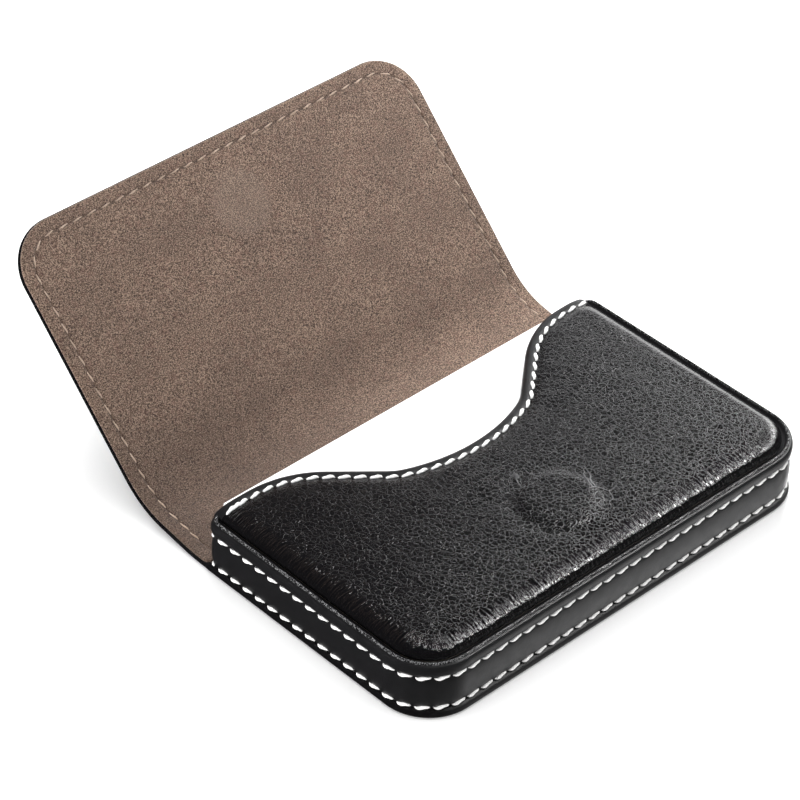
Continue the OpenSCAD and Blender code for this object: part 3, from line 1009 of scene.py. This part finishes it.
def suede():
    """Taupe suede with a fine speckle, faint blotches and a paler disc over the magnet."""
    made, tree, bsdf = new_material("suede", Roughness=0.95, Specular_IOR_Level=0.15,
                                    Sheen_Weight=0.25, Sheen_Roughness=0.5)
    place = millimetres(tree)
    speck = noise(tree, place, 3.2, 1.0, 0.6)
    fibre = noise(tree, place, 4.6, 0.0)
    blotch = noise(tree, place, 0.09, 3.0)
    hue = noise(tree, millimetres(tree, (40, 10, 0)), 0.6, 3.0, 0.7)
    base = mix_colours(tree, remap(tree, speck, 0.38, 0.62), (0.036, 0.022, 0.016), (0.150, 0.098, 0.071))
    for share, amount, colour in (
        (remap(tree, fibre, 0.50, 0.66), 0.75, (0.34, 0.242, 0.180)),
        (remap(tree, blotch, 0.35, 0.7), 0.22, (0.044, 0.029, 0.023)),
        (remap(tree, hue, 0.48, 0.66), 0.22, (0.118, 0.053, 0.041)),
        (attribute(tree, "seam"), 0.55, (0.03, 0.017, 0.013)),
        # painted shade: the suede is darkened at the left end of the folds
        (attribute(tree, "fold_shade"), 0.45, (0.03, 0.019, 0.015)),
        (attribute(tree, "disc"), 0.22, (0.21, 0.162, 0.13)),
    ):
        base = tint(tree, base, share, amount, colour)
    normal = bump(tree, calc(tree, "ADD", speck, fibre), 0.10, 0.7)
    connect(tree, bsdf, Base_Color=base, Normal=normal)
    return made


def thread(name, light, dark):
    """Spun thread with fine fibres and a little grime between its strands."""
    made, tree, bsdf = new_material(name, Roughness=0.7, Specular_IOR_Level=0.3, Sheen_Weight=0.2)
    place = millimetres(tree)
    fibre = noise(tree, place, 9.0, 2.0, 0.6)
    wear = remap(tree, noise(tree, place, 0.8, 2.0), 0.3, 0.6, 0.4, 1.0)
    base = mix_colours(tree, multiply(tree, remap(tree, fibre, 0.35, 0.7), wear), dark, light)
    connect(tree, bsdf, Base_Color=base, Normal=bump(tree, fibre, 0.03))
    return made


def paper():
    """White card with a faint tooth."""
    made, tree, bsdf = new_material("card_paper", Roughness=0.6, Specular_IOR_Level=0.3)
    place = millimetres(tree)
    cloud = noise(tree, place, 0.08, 1.0)
    base = mix_colours(tree, cloud, (0.86, 0.86, 0.86), (0.93, 0.93, 0.92))
    connect(tree, bsdf, Base_Color=base, Normal=bump(tree, noise(tree, place, 4.0, 3.0), 0.008))
    return made


def greyboard():
    """Flecked grey-brown board."""
    made, tree, bsdf = new_material("greyboard", Roughness=0.9, Specular_IOR_Level=0.2)
    place = millimetres(tree)
    pulp = noise(tree, place, 1.8, 4.0, 0.7)
    fleck = remap(tree, noise(tree, place, 5.0, 1.0), 0.6, 0.75)
    base = mix_colours(tree, pulp, (0.20, 0.17, 0.13), (0.36, 0.32, 0.26))
    base = tint(tree, base, fleck, 0.5, (0.10, 0.09, 0.08))
    connect(tree, bsdf, Base_Color=base, Normal=bump(tree, pulp, 0.05))
    return made


def foam():
    """Cream foam with small pores."""
    made, tree, bsdf = new_material("foam", Roughness=0.95, Specular_IOR_Level=0.1)
    pores = remap(tree, cells(tree, millimetres(tree), 3.0), 0.0, 0.25)
    base = mix_colours(tree, pores, (0.42, 0.39, 0.32), (0.66, 0.63, 0.55))
    connect(tree, bsdf, Base_Color=base, Normal=bump(tree, pores, 0.15))
    return made


def magnet_steel():
    """Dull scratched steel."""
    made, tree, bsdf = new_material("magnet_steel", Metallic=1.0)
    scratch = noise(tree, millimetres(tree), 1.4, 4.0, 0.6)
    base = mix_colours(tree, scratch, (0.42, 0.43, 0.45), (0.60, 0.61, 0.63))
    rough = remap(tree, scratch, 0.2, 0.8, 0.25, 0.42)
    connect(tree, bsdf, Base_Color=base, Roughness=rough, Normal=bump(tree, scratch, 0.01))
    return made


SHOWN_NODES = {
    "back_board": "greyboard",
    "side_frame": "greyboard",
    "front_board": "greyboard",
    "front_magnet": "magnet_steel",
    "flap_magnet": "magnet_steel",
    "pocket_lining_sides": "suede",
    "pocket_lining_front": "suede",
}


def paint_cad_nodes(materials):
    """The inner parts whose CAD shape is right get a finished material."""
    for name, slot in SHOWN_NODES.items():
        piece = frame["nodes"][name]
        piece.data.materials.clear()
        piece.data.materials.append(materials[slot])


# ---------- studio ----------

# Places in millimetres, angles in degrees
CAMERA_TARGET = Vector((10.87, 43.34, 0))
CAMERA_AZIMUTH, CAMERA_ELEVATION, CAMERA_ROLL = -44.24, 38.60, 1.717
CAMERA_DISTANCE = 694.8
CAMERA_LENS, CAMERA_SENSOR = 154.7, 36

# name, place and size in millimetres, radiance, and which reflection of it is seen
LAMPS = (
    ("overhead", (0, -30, 900), (1400, 1400), 2.2, "matt"),
    ("sheen", (175, 95, 83), (120, 120), 0.07, "glossy"),
    ("warm_side", (175, 130, 150), (120, 120), 19.0, "matt"),
    ("left_fill", (-600, 230, 95), (600, 180), 14.0, "matt"),
    ("front_fill", (350, -600, 160), (500, 220), 5.0, "matt"),
    ("edge_shine", (221, -103, 297), (120, 50), 95, "glossy"),
    ("strip_shine", (290, -240, -300), (300, 240), 1.5, "glossy"),
    ("strip_end_shine", (365, 95, -300), (200, 240), 3.6, "glossy"),
    ("far_shine", (405, 235, 125), (420, 90), 4.5, "glossy"),
    ("corner_shine", (410, 59, 195), (140, 80), 19, "glossy"),
)
SURROUND_LEAN = (0.45, -0.25, -0.85)
FLOOR_HALF, FLOOR_Z = 6.0, -0.00003  # in metres


def turn_to(azimuth, elevation):
    """Unit vector from the object towards a place seen at that azimuth and elevation."""
    a, e = math.radians(azimuth), math.radians(elevation)
    return Vector((math.sin(a) * math.cos(e), -math.cos(a) * math.cos(e), math.sin(e)))


def camera():
    back = turn_to(CAMERA_AZIMUTH, CAMERA_ELEVATION)
    right = Vector((0, 0, 1)).cross(back).normalized()
    up = back.cross(right)
    roll = math.radians(CAMERA_ROLL)
    tilted_right = right * math.cos(roll) + up * math.sin(roll)
    tilted_up = up * math.cos(roll) - right * math.sin(roll)
    data = bpy.data.cameras.new("camera")
    data.sensor_width = CAMERA_SENSOR
    data.lens = CAMERA_LENS
    data.clip_start, data.clip_end = 0.01, 20
    made = bpy.data.objects.new("camera", data)
    axes = Matrix((tilted_right, tilted_up, back)).transposed()
    place = (CAMERA_TARGET + back * CAMERA_DISTANCE) * MM
    made.matrix_world = Matrix.Translation(place) @ axes.to_4x4()
    bpy.context.scene.collection.objects.link(made)
    bpy.context.scene.camera = made


def soft_light(name, place, size, radiance, seen):
    """A rectangular lamp that faces the middle of the front panel."""
    data = bpy.data.lights.new(name, "AREA")
    data.shape = "RECTANGLE"
    data.size, data.size_y = (side * MM for side in size)
    data.energy = radiance * math.pi * data.size * data.size_y
    made = bpy.data.objects.new(name, data)
    made.location = Vector(place) * MM
    away = Vector(place) - Vector((0, 0, SKIN_Z))
    made.rotation_mode = "QUATERNION"
    made.rotation_quaternion = away.to_track_quat("Z", "Y")
    made.visible_camera = False
    made.visible_glossy = seen == "glossy"
    made.visible_diffuse = seen == "matt"
    bpy.context.scene.collection.objects.link(made)


def world():
    """Dim studio surround, a little brighter low down on the right."""
    made = bpy.data.worlds.new("studio")
    made.use_nodes = True
    tree = made.node_tree
    place = add_node(tree, "TexCoord").outputs["Generated"]
    lean = add_node(tree, "VectorMath", {0: place, 1: SURROUND_LEAN}, operation="DOT_PRODUCT")
    level = remap(tree, lean.outputs["Value"], 0.30, 1.0, 0.03, 0.25)
    background = tree.nodes["Background"]
    background.inputs["Color"].default_value = (1, 1, 1, 1)
    tree.links.new(level, background.inputs["Strength"])
    bpy.context.scene.world = made


def floor():
    """A pale floor that lights itself a little, and isn't mirrored in the leather."""
    mesh = bpy.data.meshes.new("floor")
    corners = [(x * FLOOR_HALF, y * FLOOR_HALF, FLOOR_Z) for x, y in ((-1, -1), (1, -1), (1, 1), (-1, 1))]
    mesh.from_pydata(corners, [], [(0, 1, 2, 3)])
    pale, _, _ = new_material("floor", Roughness=1.0, Specular_IOR_Level=0.0,
                              Base_Color=(0.9, 0.9, 0.9, 1),
                              Emission_Color=(1, 1, 1, 1), Emission_Strength=0.2)
    mesh.materials.append(pale)
    piece = bpy.data.objects.new("floor", mesh)
    piece.visible_glossy = False
    piece.visible_shadow = False
    bpy.context.scene.collection.objects.link(piece)


def studio():
    camera()
    world()
    floor()
    for lamp in LAMPS:
        soft_light(*lamp)
    bpy.context.scene.view_settings.view_transform = "Standard"


# ---------- the whole ----------


def build():
    materials = {
        "grain_leather": grain_leather(),
        "smooth_leather": smooth_leather(),
        "suede": suede(),
        "greyboard": greyboard(),
        "foam": foam(),
        "magnet_steel": magnet_steel(),
        "white_thread": thread("white_thread", (0.97, 0.97, 0.96), (0.84, 0.83, 0.82)),
        "tan_thread": thread("tan_thread", (0.60, 0.47, 0.37), (0.26, 0.18, 0.13)),
        "card_paper": paper(),
    }
    front_skin(materials["grain_leather"])
    foam_pad(materials["foam"])
    mouth_band(materials["smooth_leather"])
    side_skin(materials["smooth_leather"])
    sheet_pieces(materials["grain_leather"], materials["suede"])
    board("spine_stiffener", "spine_board", "spine", 3.2, SPINE_LEN - BEND_2 - 0.3, SPINE_ANGLE, FOLD_1,
          materials["greyboard"])
    board("flap_stiffener", "flap_board", "flap", BEND_2 + 0.3, FLAP_LEN - 1.1, FLAP_ANGLE, FOLD_2,
          materials["greyboard"])
    side_seams(materials["white_thread"])
    mouth_seam(materials["white_thread"])
    sheet_seams(materials["white_thread"], materials["tan_thread"])
    cards(materials["card_paper"])
    paint_cad_nodes(materials)


build()
studio()
